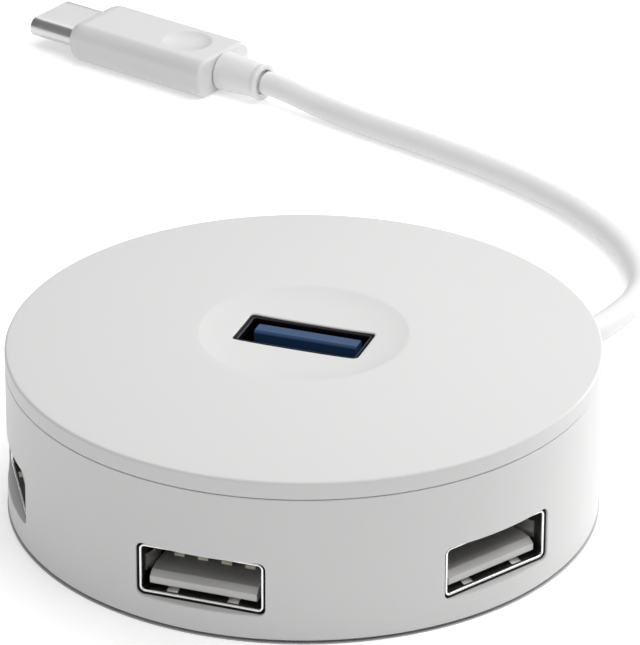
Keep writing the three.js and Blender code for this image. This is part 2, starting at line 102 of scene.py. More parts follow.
class Surface:
    """Collects faces, then welds them into one mesh object."""

    def __init__(self):
        self.bm = bmesh.new()

    def face(self, points):
        corners = [self.bm.verts.new(Vector(p) * MM) for p in points]
        self.bm.faces.new(corners)

    def grid(self, rows, closed=False, finish=0):
        """Quads between rows of equally many points. A closed grid joins each row's ends."""
        made = [[self.bm.verts.new(Vector(p) * MM) for p in row] for row in rows]
        count = len(made[0])
        last = count if closed else count - 1
        for row, following in zip(made, made[1:]):
            for i in range(last):
                j = (i + 1) % count
                face = self.bm.faces.new((row[i], row[j], following[j], following[i]))
                face.material_index = finish

    def flat(self, loops):
        """A flat face inside the first loop, with a hole at each of the others."""
        edges = []
        for loop in loops:
            corners = [self.bm.verts.new(Vector(p) * MM) for p in loop]
            edges += [self.bm.edges.new(ends)
                      for ends in zip(corners, corners[1:] + corners[:1])]
        bmesh.ops.triangle_fill(self.bm, use_beauty=True, edges=edges)

    def cap(self, loop):
        """A fan of triangles from the middle of a loop."""
        middle = sum((Vector(p) for p in loop), Vector()) / len(loop)
        centre = self.bm.verts.new(middle * MM)
        rim = [self.bm.verts.new(Vector(p) * MM) for p in loop]
        for i, corner in enumerate(rim):
            self.bm.faces.new((centre, corner, rim[(i + 1) % len(rim)]))

    def piece(self, name, materials, slot, turn=None, sharp=SHARP_ANGLE, nodes=()):
        """Welds the faces, turns the piece into place and hangs it on the hub."""
        bmesh.ops.remove_doubles(self.bm, verts=self.bm.verts, dist=2e-7)
        bmesh.ops.dissolve_degenerate(self.bm, dist=1e-8, edges=self.bm.edges)
        bmesh.ops.recalc_face_normals(self.bm, faces=self.bm.faces)
        if turn is not None:
            self.bm.transform(turn)
        mesh = bpy.data.meshes.new(name)
        self.bm.to_mesh(mesh)
        self.bm.free()
        return finish_piece(name, mesh, materials, sharp, nodes)


def finish_piece(name, mesh, materials, sharp=SHARP_ANGLE, nodes=()):
    mesh.shade_smooth()
    mesh.set_sharp_from_angle(angle=math.radians(sharp))
    for material in materials if isinstance(materials, tuple) else (materials,):
        mesh.materials.append(material)
    piece = bpy.data.objects.new(name, mesh)
    bpy.context.scene.collection.objects.link(piece)
    weighted = piece.modifiers.new("even_normals", "WEIGHTED_NORMAL")
    weighted.keep_sharp = True
    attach(piece, "root")
    if nodes:
        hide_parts(*nodes)
    return piece


def turned_to(angle):
    """Turns a piece drawn facing -Y to face angle degrees from -Y towards +X."""
    return Matrix.Rotation(math.radians(angle), 4, "Z")


def revolve(surface, outline, segments=192):
    """Turns an outline of (radius, z) about Z. Points on the axis close by welding."""
    rows = []
    for i in range(segments):
        a = 2 * math.pi * i / segments
        rows.append([(r * math.sin(a), -r * math.cos(a), z) for r, z in outline])
    rows.append(rows[0])
    surface.grid(rows)
    return surface


def rounded_rectangle(width, height, corner, straight=8, arc=6):
    """Points round a rectangle, anticlockwise from the middle of its right side."""
    points = []
    x, y = width / 2 - corner, height / 2 - corner
    sides = [
        ((width / 2, -y), (width / 2, y), (x, y), 0),
        ((x, height / 2), (-x, height / 2), (-x, y), 90),
        ((-width / 2, y), (-width / 2, -y), (-x, -y), 180),
        ((-x, -height / 2), (x, -height / 2), (x, -y), 270),
    ]
    for start, end, centre, first in sides:
        for k in range(straight):
            t = k / straight
            points.append((start[0] + (end[0] - start[0]) * t, start[1] + (end[1] - start[1]) * t))
        for k in range(arc):
            a = math.radians(first + 90 * k / arc)
            points.append((centre[0] + corner * math.cos(a), centre[1] + corner * math.sin(a)))
    return points


def mix(a, b, t):
    return tuple(p + (q - p) * t for p, q in zip(a, b))


def smooth_line(points, per_span=8):
    """A centripetal Catmull-Rom curve through the points, as a list of close points."""
    points = [Vector(p) for p in points]
    ends = [2 * points[0] - points[1], *points, 2 * points[-1] - points[-2]]
    line = []
    for p0, p1, p2, p3 in zip(ends, ends[1:], ends[2:], ends[3:]):
        t1 = math.sqrt((p1 - p0).length)
        t2 = t1 + math.sqrt((p2 - p1).length)
        t3 = t2 + math.sqrt((p3 - p2).length)
        for k in range(per_span):
            t = t1 + (t2 - t1) * k / per_span
            a1 = p0 * ((t1 - t) / t1) + p1 * (t / t1)
            a2 = p1 * ((t2 - t) / (t2 - t1)) + p2 * ((t - t1) / (t2 - t1))
            a3 = p2 * ((t3 - t) / (t3 - t2)) + p3 * ((t - t2) / (t3 - t2))
            b1 = a1 * ((t2 - t) / t2) + a2 * (t / t2)
            b2 = a2 * ((t3 - t) / (t3 - t1)) + a3 * ((t - t1) / (t3 - t1))
            line.append(b1 * ((t2 - t) / (t2 - t1)) + b2 * ((t - t1) / (t2 - t1)))
    line.append(points[-1])
    return line


# ---- Materials ----


def new_material(name, colour, roughness, metallic=0.0, variation=0.03, scale=60, bump=0.02,
                 roughness_variation=0.06, **sockets):
    """A moulded or plated finish: soft mottling of colour and roughness over a fine surface grain.

    scale is the mottling's noise scale, in cells per metre. bump is the grain's depth in mm."""
    material = bpy.data.materials.new(name)
    material.use_nodes = True
    tree = material.node_tree
    shader = tree.nodes["Principled BSDF"]
    shader.inputs["Metallic"].default_value = metallic
    for socket, value in sockets.items():
        shader.inputs[socket.replace("_", " ")].default_value = value

    place = tree.nodes.new("ShaderNodeTexCoord")
    mottle = tree.nodes.new("ShaderNodeTexNoise")
    mottle.inputs["Scale"].default_value = scale
    mottle.inputs["Detail"].default_value = 3
    tree.links.new(place.outputs["Object"], mottle.inputs["Vector"])

    tint = tree.nodes.new("ShaderNodeMix")
    tint.data_type = "RGBA"
    tint.inputs["A"].default_value = (*[c * (1 - variation) for c in colour], 1)
    tint.inputs["B"].default_value = (*[min(c * (1 + variation), 1) for c in colour], 1)
    tree.links.new(mottle.outputs["Fac"], tint.inputs["Factor"])
    tree.links.new(tint.outputs["Result"], shader.inputs["Base Color"])

    spread = tree.nodes.new("ShaderNodeMapRange")
    spread.inputs["To Min"].default_value = max(roughness - roughness_variation, 0.02)
    spread.inputs["To Max"].default_value = roughness + roughness_variation
    tree.links.new(mottle.outputs["Fac"], spread.inputs["Value"])
    tree.links.new(spread.outputs["Result"], shader.inputs["Roughness"])

    if bump:
        grain = tree.nodes.new("ShaderNodeTexNoise")
        grain.inputs["Scale"].default_value = 3500
        grain.inputs["Detail"].default_value = 4
        tree.links.new(place.outputs["Object"], grain.inputs["Vector"])
        relief = tree.nodes.new("ShaderNodeBump")
        relief.inputs["Strength"].default_value = 0.35
        relief.inputs["Distance"].default_value = bump * MM
        tree.links.new(grain.outputs["Fac"], relief.inputs["Height"])
        tree.links.new(relief.outputs["Normal"], shader.inputs["Normal"])
    return material


CASING = new_material("casing_plastic", (0.595, 0.595, 0.592), 0.42, variation=0.012, scale=90,
                      bump=0.01)
CABLE = new_material("cable_jacket", (0.7, 0.7, 0.7), 0.45, variation=0.02, scale=200,
                     bump=0.008)
OVERMOLD_WHITE = new_material("overmold_plastic", (0.62, 0.62, 0.62), 0.38, variation=0.012,
                              scale=150, bump=0.008)
NICKEL = new_material("nickel_plate", (0.9, 0.895, 0.885), 0.26, metallic=1.0, variation=0.03,
                      scale=400, bump=0.004)
PLUG_NICKEL = new_material("plug_plate", (0.62, 0.62, 0.625), 0.33, metallic=1.0, variation=0.04,
                           scale=400, bump=0.004)
# Near-black plating for the top socket's shell: painted shade for the slot's unlit inside.
TOP_SHELL_PAINTED_SHADE = new_material("top_plate_painted_shade", (0.022, 0.022, 0.025), 0.42, metallic=1.0, variation=0.1,
                           scale=400, bump=0.004)
# Darker plating for the deep insides of shells and for the roof springs: painted shade.
NICKEL_PAINTED_SHADE = new_material("plate_painted_shade", (0.13, 0.128, 0.125), 0.4, metallic=1.0, variation=0.1,
                           scale=400, bump=0.004)
# Near-black casing for the deep insides of the openings and the top slot: painted shade, not the
# plastic's own colour.
CASING_PAINTED_SHADE = new_material("casing_painted_shade", (0.05, 0.05, 0.05), 0.7, variation=0.05, scale=200,
                            bump=0.02)
PALE_TONGUE = new_material("pale_tongue", (0.58, 0.575, 0.56), 0.45, variation=0.03, scale=500,
                           bump=0.01)
BLUE_TONGUE = new_material("blue_tongue", (0.009, 0.05, 0.14), 0.6, variation=0.06, scale=500,
                           bump=0.01)
GOLD = new_material("gold_flash", (0.74, 0.70, 0.56), 0.42, metallic=0.6, variation=0.05,
                    scale=800, bump=0.004)
SILICONE = new_material("pad_silicone", (0.42, 0.43, 0.44), 0.8, variation=0.05, scale=250,
                        bump=0.03)
STEEL = new_material("bright_steel", (0.55, 0.55, 0.56), 0.3, metallic=1.0, variation=0.06,
                     scale=600, bump=0.01)
BOARD = new_material("solder_mask", (0.02, 0.13, 0.06), 0.4, variation=0.2, scale=900, bump=0.02)
CHIP = new_material("chip_resin", (0.02, 0.021, 0.023), 0.6, variation=0.15, scale=900, bump=0.02)
CERAMIC = new_material("fired_ceramic", (0.3, 0.19, 0.1), 0.55, variation=0.12, scale=900,
                       bump=0.02)


# ---- The casing ----

SIDE_POINTS = 14
CORNER_POINTS = 8
POINTS_PER_SIDE = SIDE_POINTS + CORNER_POINTS
CUTOUT_WIDTH = SHELL_WIDTH + 2 * CUTOUT_MARGIN
CUTOUT_HEIGHT = SHELL_HEIGHT + 2 * CUTOUT_MARGIN
CUTOUT_CORNER = 0.75
CABLE_HOLE_RADIUS = 2.45
HOUSING_INNER = BODY_RADIUS - WALL
LEDGE_END = SHELL_FACE - 0.04
SEAT_RADIUS = 29.25
SEAT_TOP_Z = 1.9


def on_wall(radius, angle, z):
    """A point of an upright round wall. The angle is in radians, from -Y towards +X."""
    return (radius * math.sin(angle), -radius * math.cos(angle), z)


def quarter_round(x, z, radius, first, steps=4):
    """Points of a quarter circle about (x, z), from first degrees to 90 degrees less."""
    turns = [math.radians(first - 90 * k / steps) for k in range(steps + 1)]
    return [(x + radius * math.cos(a), z + radius * math.sin(a)) for a in turns]


def socket_cutout(grow):
    """The outline of a side cutout as (x, z), grown all round."""
    outline = rounded_rectangle(
        CUTOUT_WIDTH + 2 * grow, CUTOUT_HEIGHT + 2 * grow, CUTOUT_CORNER + grow,
        SIDE_POINTS, CORNER_POINTS)
    return [(x, SOCKET_Z + z) for x, z in outline]


def cable_hole(grow):
    """The outline of the cable's hole as (x, z), grown all round."""
    count = 4 * POINTS_PER_SIDE
    turns = [math.radians(-45 + 360 * (i + CORNER_POINTS / 2) / count) for i in range(count)]
    radius = CABLE_HOLE_RADIUS + grow
    return [(radius * math.cos(a), CABLE_EXIT_Z + radius * math.sin(a)) for a in turns]


# Each opening: its middle and half the width of the patch of wall round it, in degrees, and its outline.
OPENINGS = [(angle, 19, socket_cutout) for angle in SIDE_SOCKETS.values()]
OPENINGS.append((CABLE_ANGLE, 9, cable_hole))


def patch_border(half, low, high):
    """A rectangle of (angle, z) round an opening, point for point with the opening's outline."""
    border = []
    for i in range(4 * POINTS_PER_SIDE):
        along = (i + CORNER_POINTS / 2) / POINTS_PER_SIDE
        side, t = int(along) % 4, along % 1
        corners = [(half, low), (half, high), (-half, high), (-half, low), (half, low)]
        border.append(mix(corners[side], corners[side + 1], t))
    return border


def wall_with_openings(surface, radius, low, high, edge, outward):
    """An upright round wall, pierced by the openings, with their edges rounded.

    outward is 1 for a wall's outer face and -1 for its inner one."""
    arc_steps, patch_rows, crowding, column_degrees = 4, 10, 1.4, 1.5
    angles = []
    for number, (centre, half, outline) in enumerate(OPENINGS):
        middle, half = math.radians(centre), math.radians(half)
        rows = []
        for k in range(arc_steps + 1):
            a = math.radians(90 * k / arc_steps)
            depth = edge * (1 - math.sin(a)) * outward
            loop = outline(edge * (1 - math.cos(a)))
            rows.append([
                on_wall(radius - depth, middle + math.asin(x / (radius - depth)), z)
                for x, z in loop])
        start = [(math.asin(x / radius), z) for x, z in outline(edge)]
        border = patch_border(half, low, high)
        for k in range(1, patch_rows + 1):
            spread = [mix(p, q, (k / patch_rows) ** crowding) for p, q in zip(start, border)]
            rows.append([on_wall(radius, middle + a, z) for a, z in spread])
        surface.grid(rows, closed=True)

        following = OPENINGS[(number + 1) % len(OPENINGS)]
        gap_end = math.radians(following[0] - following[1])
        if gap_end < middle:
            gap_end += 2 * math.pi
        gap_start = middle + half
        columns = max(6, round(math.degrees(gap_end - gap_start) / column_degrees))
        gap = [gap_start + (gap_end - gap_start) * i / columns for i in range(columns + 1)]
        heights = [low + (high - low) * i / POINTS_PER_SIDE for i in range(POINTS_PER_SIDE + 1)]
        surface.grid([[on_wall(radius, a, z) for z in heights] for a in gap])
        patch = [middle - half + 2 * half * i / POINTS_PER_SIDE for i in range(POINTS_PER_SIDE)]
        angles += patch + gap[:-1]
    return angles


def make_side_housing():
    """The round wall with three socket cutouts and the cable's hole."""
    surface = Surface()
    top_edge, bottom_edge, cutout_edge, inner_edge = 0.12, 0.22, 0.14, 0.08
    bottom, top = BODY_BOTTOM, HOUSING_HIGH.z
    angles = wall_with_openings(
        surface, BODY_RADIUS, bottom + bottom_edge, top - top_edge, cutout_edge, 1)
    wall_with_openings(surface, HOUSING_INNER, SEAT_TOP_Z, top - inner_edge, inner_edge, -1)

    def band(profile):
        surface.grid([[on_wall(r, a, z) for a in angles] for r, z in profile], closed=True)

    band(quarter_round(BODY_RADIUS - top_edge, top - top_edge, top_edge, 90)[::-1]
         + quarter_round(HOUSING_INNER + inner_edge, top - inner_edge, inner_edge, 180)[::-1])
    band(quarter_round(BODY_RADIUS - bottom_edge, bottom + bottom_edge, bottom_edge, 0)
         + quarter_round(SEAT_RADIUS + inner_edge, bottom + inner_edge, inner_edge, -90)
         + [(SEAT_RADIUS, SEAT_TOP_Z), (HOUSING_INNER, SEAT_TOP_Z)])

    for centre, _, outline in OPENINGS:
        middle = math.radians(centre)

        def lining(radius):
            return [on_wall(radius, middle + math.asin(x / radius), z) for x, z in outline(0)]

        ledge_end = [on_wall(math.hypot(x, LEDGE_END), middle + math.atan2(x, LEDGE_END), z)
                     for x, z in outline(0)]
        surface.grid([lining(BODY_RADIUS - cutout_edge), ledge_end], closed=True)
        # Deeper than the ledge, each opening's lining takes the second finish, which is painted shade.
        surface.grid([ledge_end, lining(HOUSING_INNER + inner_edge)], closed=True, finish=1)
    return surface.piece("side_housing_fine", (CASING, CASING_PAINTED_SHADE), "casing_plastic",
                         nodes=["side_housing"])


# The slot is the top shell's outline, with CUTOUT_MARGIN all round.
SLOT_WIDTH = 13.54
SLOT_HEIGHT = 6.09
SLOT_CORNER = 0.5
COVER_POINTS = 64
COVER_CORNER_POINTS = 16
CEILING_Z = 16.2
SKIRT_OUTER, SKIRT_INNER, SKIRT_LOW_Z = 28.6, 27.6, 14.45
BOSS_ANGLES = (-115, -30, 30, 115)
BOSS_CIRCLE = 24.6


def dome_z(r):
    """Height of the cover's domed top at a distance from the axis."""
    return RIM_TOP_Z + DOME_RISE * (1 - (r / BODY_RADIUS) ** 2)


def dish_z(r):
    """Height of the dish's floor at a distance from the axis."""
    return dome_z(DISH_RADIUS) - DISH_DEPTH * (1 - (r / DISH_RADIUS) ** DISH_POWER)


def slot_outline(grow):
    """The outline of the top slot as (x, y), grown all round."""
    return rounded_rectangle(
        SLOT_WIDTH + 2 * grow, SLOT_HEIGHT + 2 * grow, SLOT_CORNER + grow,
        COVER_POINTS - COVER_CORNER_POINTS, COVER_CORNER_POINTS)


def make_top_cover():
    """The domed lid: a shallow dish round the socket's slot, a rim band and a skirt inside."""
    surface = Surface()
    count = 4 * COVER_POINTS
    even = [math.radians(-45 + 360 * (i + COVER_CORNER_POINTS / 2) / count)
            for i in range(count)]
    corner_turn = [math.atan2(y, x) for x, y in slot_outline(0)]

    def circle(r, z):
        """A ring of points, crowded towards the slot's corners where it is small."""
        t = min(max((r - DISH_RADIUS) / 8, 0), 1)
        turns = []
        for straight, crowded in zip(even, corner_turn):
            nearest = crowded + 2 * math.pi * round((straight - crowded) / (2 * math.pi))
            turns.append(nearest + (straight - nearest) * (0.5 + 0.5 * t))
        return [(r * math.cos(a), r * math.sin(a), z) for a in turns]

    edge, crease, rim_edge, low_edge, skirt_edge = 0.16, 0.05, 0.3, 0.05, 0.1
    arc_steps, dish_rows, dome_rows = 4, 16, 34
    rows = []
    for k in range(arc_steps + 1):
        a = math.radians(90 * k / arc_steps)
        loop = slot_outline(edge * (1 - math.cos(a)))
        rows.append([(x, y, dish_z(math.hypot(x, y)) - edge * (1 - math.sin(a)))
                     for x, y in loop])
    dish_edge = [(x, y) for x, y, _ in circle(DISH_RADIUS - crease, 0)]
    for k in range(1, dish_rows + 1):
        ring = [mix(p, q, k / dish_rows) for p, q in zip(slot_outline(edge), dish_edge)]
        rows.append([(x, y, dish_z(math.hypot(x, y))) for x, y in ring])
    flat_start, flat_end = DISH_RADIUS + crease, BODY_RADIUS - rim_edge
    for k in range(dome_rows + 1):
        r = flat_start + (flat_end - flat_start) * k / dome_rows
        rows.append(circle(r, dome_z(r)))
    for r, z in quarter_round(flat_end, dome_z(flat_end) - rim_edge, rim_edge, 90, 6)[1:]:
        rows.append(circle(r, z))
    low = SEAM_Z + SEAM_GAP / 2
    profile = [(BODY_RADIUS, RIM_TOP_Z - 1.0)]
    profile += quarter_round(BODY_RADIUS - low_edge, low + low_edge, low_edge, 0)
    profile += [(SKIRT_OUTER, low), (SKIRT_OUTER, SKIRT_LOW_Z + skirt_edge),
                (SKIRT_OUTER - skirt_edge, SKIRT_LOW_Z), (SKIRT_INNER + skirt_edge, SKIRT_LOW_Z),
                (SKIRT_INNER, SKIRT_LOW_Z + skirt_edge), (SKIRT_INNER, CEILING_Z),
                (20, CEILING_Z)]
    rows += [circle(r, z) for r, z in profile]
    surface.grid(rows, closed=True)
    slot_foot = [(x, y, CEILING_Z) for x, y in slot_outline(0)]
    # The ceiling round the slot and the slot's own wall take the second finish, which is painted shade.
    surface.grid([rows[-1], slot_foot, rows[0]], closed=True, finish=1)

    pilot_radius, boss_radius, boss_low_z, boss_count = 0.95, 2.3, 2.1, 48
    boss = [(pilot_radius, CEILING_Z + 0.1), (pilot_radius, boss_low_z + 0.2),
            (pilot_radius + 0.2, boss_low_z), (boss_radius - 0.15, boss_low_z),
            (boss_radius, boss_low_z + 0.15), (boss_radius, CEILING_Z - 0.3),
            (boss_radius + 0.3, CEILING_Z + 0.1)]
    for angle in BOSS_ANGLES:
        x, y, _ = on_wall(BOSS_CIRCLE, math.radians(angle), 0)
        turns = [2 * math.pi * k / boss_count for k in range(boss_count + 1)]
        surface.grid([[(x + r * math.cos(a), y + r * math.sin(a), z) for r, z in boss]
                      for a in turns], closed=True)
    return surface.piece("top_cover_fine", (CASING, CASING_PAINTED_SHADE), "casing_plastic",
                         nodes=["top_cover"])


def ring_points(radius, z, count, centre=(0, 0)):
    """A level ring of points about an upright axis."""
    x, y = centre
    turns = [2 * math.pi * i / count for i in range(count)]
    return [(x + radius * math.sin(a), y - radius * math.cos(a), z) for a in turns]


def screw_holes(surface, low, high):
    """Four stepped holes through a flat plate. Returns their rims at its two faces."""
    head_radius, shank_radius, step_z, count = 2.15, 1.15, 1.4, 48
    low_rims, high_rims = [], []
    for angle in BOSS_ANGLES:
        centre = on_wall(BOSS_CIRCLE, math.radians(angle), 0)[:2]
        rows = [ring_points(radius, z, count, centre) for radius, z in [
            (head_radius, low), (head_radius, step_z), (shank_radius, step_z),
            (shank_radius, high)]]
        surface.grid(rows, closed=True)
        low_rims.append(rows[0])
        high_rims.append(rows[-1])
    return low_rims, high_rims


def make_base():
    """The base plate, let into the housing, and the thin pad that the hub stands on."""
    plate_low, plate_high = box_mm("base_plate")
    radius, low, high = plate_high.x, plate_low.z, plate_high.z
    seat_radius, seat_z = 27.55, 0.95
    edge, chamfer, count = 0.12, 0.08, 192
    plate = [(seat_radius, seat_z), (seat_radius, low + chamfer), (seat_radius + chamfer, low)]
    plate += quarter_round(radius - edge, low + edge, edge, 0)[::-1]
    plate += [(radius, high - chamfer), (radius - chamfer, high)]
    surface = Surface()
    surface.grid([ring_points(r, z, count) for r, z in plate], closed=True)
    low_rims, high_rims = screw_holes(surface, seat_z, high)
    surface.flat([ring_points(seat_radius, seat_z, count), *low_rims])
    surface.flat([ring_points(radius - chamfer, high, count), *high_rims])
    surface.piece("base_plate_fine", CASING, "casing_plastic", nodes=["base_plate"])

    pad_low, pad_high = box_mm("anti_slip_pad")
    radius, low, high = pad_high.x, pad_low.z, pad_high.z
    edge, chamfer = 0.28, 0.1
    pad = [(0, low), (radius - 2, low)]
    pad += quarter_round(radius - edge, low + edge, edge, 0)[::-1]
    pad += [(radius, high - chamfer), (radius - chamfer, high), (0, high)]
    surface = revolve(Surface(), pad)
    surface.piece("anti_slip_pad_fine", SILICONE, "pad_silicone", nodes=["anti_slip_pad"])


# ---- The sockets ----


SHADE_START_DEPTH = 0.2  # how far inside its mouth a shell keeps its bright plating; deeper in, its second finish is painted shade


def sleeve_of_metal(surface, width, height, corner, wall, near, far, place):
    """A folded metal shell: a rounded rectangular tube with rolled rims, from near to far.

    Its plating is bright outside and a short way in; further inside it takes the second finish, a darker
    plating that is painted shade."""
    rim = wall / 2
    arc_steps = 8

    def loop(inset, along):
        outline = rounded_rectangle(
            width - 2 * inset, height - 2 * inset, max(corner - inset, 0.05), 10, 8)
        return [place(x, along, z) for x, z in outline]

    rows = [loop(wall, far), loop(0, far), loop(0, near + 1.5)]
    for k in range(arc_steps + 1):
        a = math.radians(180 * k / arc_steps)
        rows.append(loop(rim * (1 - math.cos(a)), near + rim * (1 - math.sin(a))))
    rows.append(loop(wall, near + SHADE_START_DEPTH))
    surface.grid(rows, closed=True)
    # Past that depth the inside takes the second finish, which is painted shade.
    surface.grid([rows[-1], rows[0]], closed=True, finish=1)


def strip(surface, path, side, width, thickness, finish=0):
    """A bent flat strip of metal. side is the direction of its width."""
    path = [Vector(p) for p in path]
    side = Vector(side).normalized()
    section = rounded_rectangle(width, thickness, thickness * 0.3, 2, 2)
    rows = []
    for i, point in enumerate(path):
        ahead = path[min(i + 1, len(path) - 1)] - path[max(i - 1, 0)]
        up = side.cross(ahead.normalized())
        rows.append([point + side * x + up * z for x, z in section])
    surface.grid(rows, closed=True, finish=finish)
    surface.cap(rows[0])
    surface.cap(rows[-1])


def bulge(start, end, height, steps=14):
    """Distance and height along a spring tab: a long ramp up to a round crest near its end."""
    points = []
    for k in range(steps + 1):
        t = k / steps
        rise = math.sin(math.pi * t ** 1.5) ** 1.2 if 0 < t < 1 else 0
        points.append((start + (end - start) * t, height * rise))
    return points


def block(surface, low, high, edge):
    """A box with rounded edges."""
    low, high = Vector(low), Vector(high)
    size = high - low
    made = bmesh.ops.create_cube(surface.bm, size=1)["verts"]
    for corner in made:
        for axis in range(3):
            corner.co[axis] = (low[axis] + size[axis] * (corner.co[axis] + 0.5)) * MM
    edges = {e for corner in made for e in corner.link_edges}
    bmesh.ops.bevel(surface.bm, geom=list(edges), offset=edge * MM, segments=3, profile=0.5,
                    affect="EDGES")


SPRING_X = 3.2  # the floor and roof springs stand this far from the middle
SPRING_METAL = 0.16
SPRING_SINK = 0.02  # how far a spring's ends lie in the shell's wall
CONTACT_METAL = 0.18
INSULATOR_EDGE = 0.07


def slab(surface, outline, half_width):
    """A solid with a side outline of (y, z), half_width each way along X."""
    rows = [[(x, y, z) for y, z in outline] for x in (-half_width, half_width)]
    surface.grid(rows, closed=True)
    surface.face(rows[0])
    surface.face(rows[1])


def make_side_socket(name, angle):
    """A metal shell with its spring tabs, an insulator with its tongue, and four contacts."""
    turn = turned_to(angle)
    front = -SHELL_FACE
    floor_z = SHELL_LOW.z + SHELL_WALL
    roof_z = SHELL_HIGH.z - SHELL_WALL
    half = SHELL_WIDTH / 2 - SHELL_WALL

    surface = Surface()
    sleeve_of_metal(surface, SHELL_WIDTH, SHELL_HEIGHT, 0.65, SHELL_WALL, front,
                    front + SHELL_DEPTH, lambda x, y, z: (x, y, SOCKET_Z + z))
    for x in (-SPRING_X, SPRING_X):
        tab = [(x, y, floor_z - SPRING_SINK + rise)
               for y, rise in bulge(front + 4.2, front + 0.4, 0.34)]
        strip(surface, tab, (1, 0, 0), 1.2, SPRING_METAL)
        # The roof springs take the shell's second finish, darker plating as painted shade.
        tab = [(x, y, roof_z + SPRING_SINK - rise)
               for y, rise in bulge(front + 7.5, front + 1.6, 0.42)]
        strip(surface, tab, (1, 0, 0), 1.7, SPRING_METAL, finish=1)
    for sign in (-1, 1):
        tab = [(sign * (half + SPRING_SINK - rise), y, SOCKET_Z)
               for y, rise in bulge(front + 7.0, front + 1.3, 0.45)]
        strip(surface, tab, (0, 0, 1), 1.9, SPRING_METAL)
    surface.piece(f"{name}_socket_shell_fine", (NICKEL, NICKEL_PAINTED_SHADE), "socket_nickel", turn,
                  nodes=[f"{name}_socket_shell"])

    tongue_low, tongue_high, nose_z, nose_top_z, block_top = 3.88, 5.42, 4.72, 5.26, 7.97
    tongue_front, tongue_back, block_back = -28.95, -17.65, -16.05
    tongue_width, under_edge = 11.3, 0.15
    surface = Surface()
    slab(surface, [
        (tongue_back, tongue_low), (block_back, tongue_low - 0.2), (block_back, block_top),
        (tongue_back, block_top), (tongue_back, tongue_high), (tongue_front + 1.6, tongue_high),
        (tongue_front + 0.65, nose_top_z), (tongue_front, nose_z),
        (tongue_front, tongue_low + under_edge), (tongue_front + under_edge, tongue_low),
    ], tongue_width / 2)
    insulator = surface.piece(f"{name}_socket_insulator_fine", PALE_TONGUE, "tongue_white",
                              turn, nodes=[f"{name}_socket_insulator"])
    round_edges(insulator, INSULATOR_EDGE)

    # Each contact lies on the tongue and arches up near its front end: y, and height over the rest.
    contact_z, contact_width, contact_pitch = 5.59, 1.1, 2.5
    bends = [(-17.75, 0), (-23.2, 0), (-23.7, 0.06), (-24.2, 0.25), (-24.7, 0.44),
             (-25.05, 0.49), (-25.35, 0.43), (-25.55, 0.25), (-25.65, 0)]
    for number in range(1, 5):
        x = (number - 2.5) * contact_pitch
        path = [(x, y, contact_z + rise) for y, rise in bends]
        surface = Surface()
        strip(surface, smooth_line(path, 4), (1, 0, 0), contact_width, CONTACT_METAL)
        surface.piece(f"{name}_socket_contact_{number}_fine", GOLD, "contact_gold", turn,
                      nodes=[f"{name}_socket_contact_{number}"])


def round_edges(piece, width, segments=3):
    """Rounds a piece's edges with a bevel, before its normals are evened."""
    bevel = piece.modifiers.new("rounded", "BEVEL")
    bevel.width = width * MM
    bevel.segments = segments
    bevel.limit_method = "ANGLE"
    bevel.angle_limit = math.radians(30)
    piece.modifiers.move(len(piece.modifiers) - 1, 0)


def make_top_socket():
    """The upright socket: a shell darkened all over as painted shade, a blue tongue, four contacts and
    five fixed pads.
    """
    width = TOP_SHELL_HIGH.x - TOP_SHELL_LOW.x
    near, far = -TOP_SHELL_HIGH.z, -TOP_SHELL_LOW.z
    surface = Surface()
    sleeve_of_metal(surface, width, TOP_SHELL_HEIGHT, 0.5, SHELL_WALL, near, far,
                    lambda x, along, y: (x, y, -along))
    half_width, half_height = width / 2 - SHELL_WALL, TOP_SHELL_HEIGHT / 2 - SHELL_WALL
    for x in (-SPRING_X, SPRING_X):
        for sign in (-1, 1):
            tab = [(x, sign * (half_height + SPRING_SINK - rise), -along)
                   for along, rise in bulge(near + 7.5, near + 1.6, 0.4)]
            strip(surface, tab, (1, 0, 0), 1.7, SPRING_METAL)
    for sign in (-1, 1):
        tab = [(sign * (half_width + SPRING_SINK - rise), 0, -along)
               for along, rise in bulge(near + 7.0, near + 1.3, 0.42)]
        strip(surface, tab, (0, 1, 0), 1.9, SPRING_METAL)
    # Both of the shell's finishes are the near-black plating, painted shade.
    surface.piece("top_socket_shell_fine", (TOP_SHELL_PAINTED_SHADE, TOP_SHELL_PAINTED_SHADE), "top_socket_metal",
                  nodes=["top_socket_shell"])

    tongue_face, tongue_back, block_z = 0.26, 2.10, 5.4
    low, high = box_mm("top_socket_insulator")
    surface = Surface()
    slab(surface, [
        (tongue_face, block_z), (tongue_face, high.z - 0.25), (tongue_face + 0.2, high.z),
        (tongue_back - 0.2, high.z), (tongue_back, high.z - 0.25), (tongue_back, block_z),
        (high.y, block_z), (high.y, low.z), (low.y, low.z), (low.y, block_z),
    ], high.x - 0.1)
    insulator = surface.piece("top_socket_insulator_fine", BLUE_TONGUE, "tongue_blue",
                              nodes=["top_socket_insulator"])
    round_edges(insulator, INSULATOR_EDGE)

    for number in range(1, 5):
        low, high = box_mm(f"top_socket_contact_{number}")
        x, crest = (low.x + high.x) / 2, low.y
        back = high.y - CONTACT_METAL / 2
        path = [(x, back, low.z), (x, back, high.z - 3), (x, back - 0.05, high.z - 2.5),
                (x, crest + 0.2, high.z - 1.9), (x, crest + 0.09, high.z - 1.3),
                (x, crest + 0.2, high.z - 0.7), (x, back - 0.03, high.z)]
        surface = Surface()
        strip(surface, smooth_line(path, 4), (1, 0, 0), high.x - low.x, CONTACT_METAL)
        surface.piece(f"top_socket_contact_{number}_fine", GOLD, "contact_gold",
                      nodes=[f"top_socket_contact_{number}"])
    for number in range(1, 6):
        low, high = box_mm(f"top_socket_pad_{number}")
        surface = Surface()
        block(surface, low, high, edge=0.04)
        surface.piece(f"top_socket_pad_{number}_fine", GOLD, "contact_gold",
                      nodes=[f"top_socket_pad_{number}"])


# ---- The cable and its plug ----

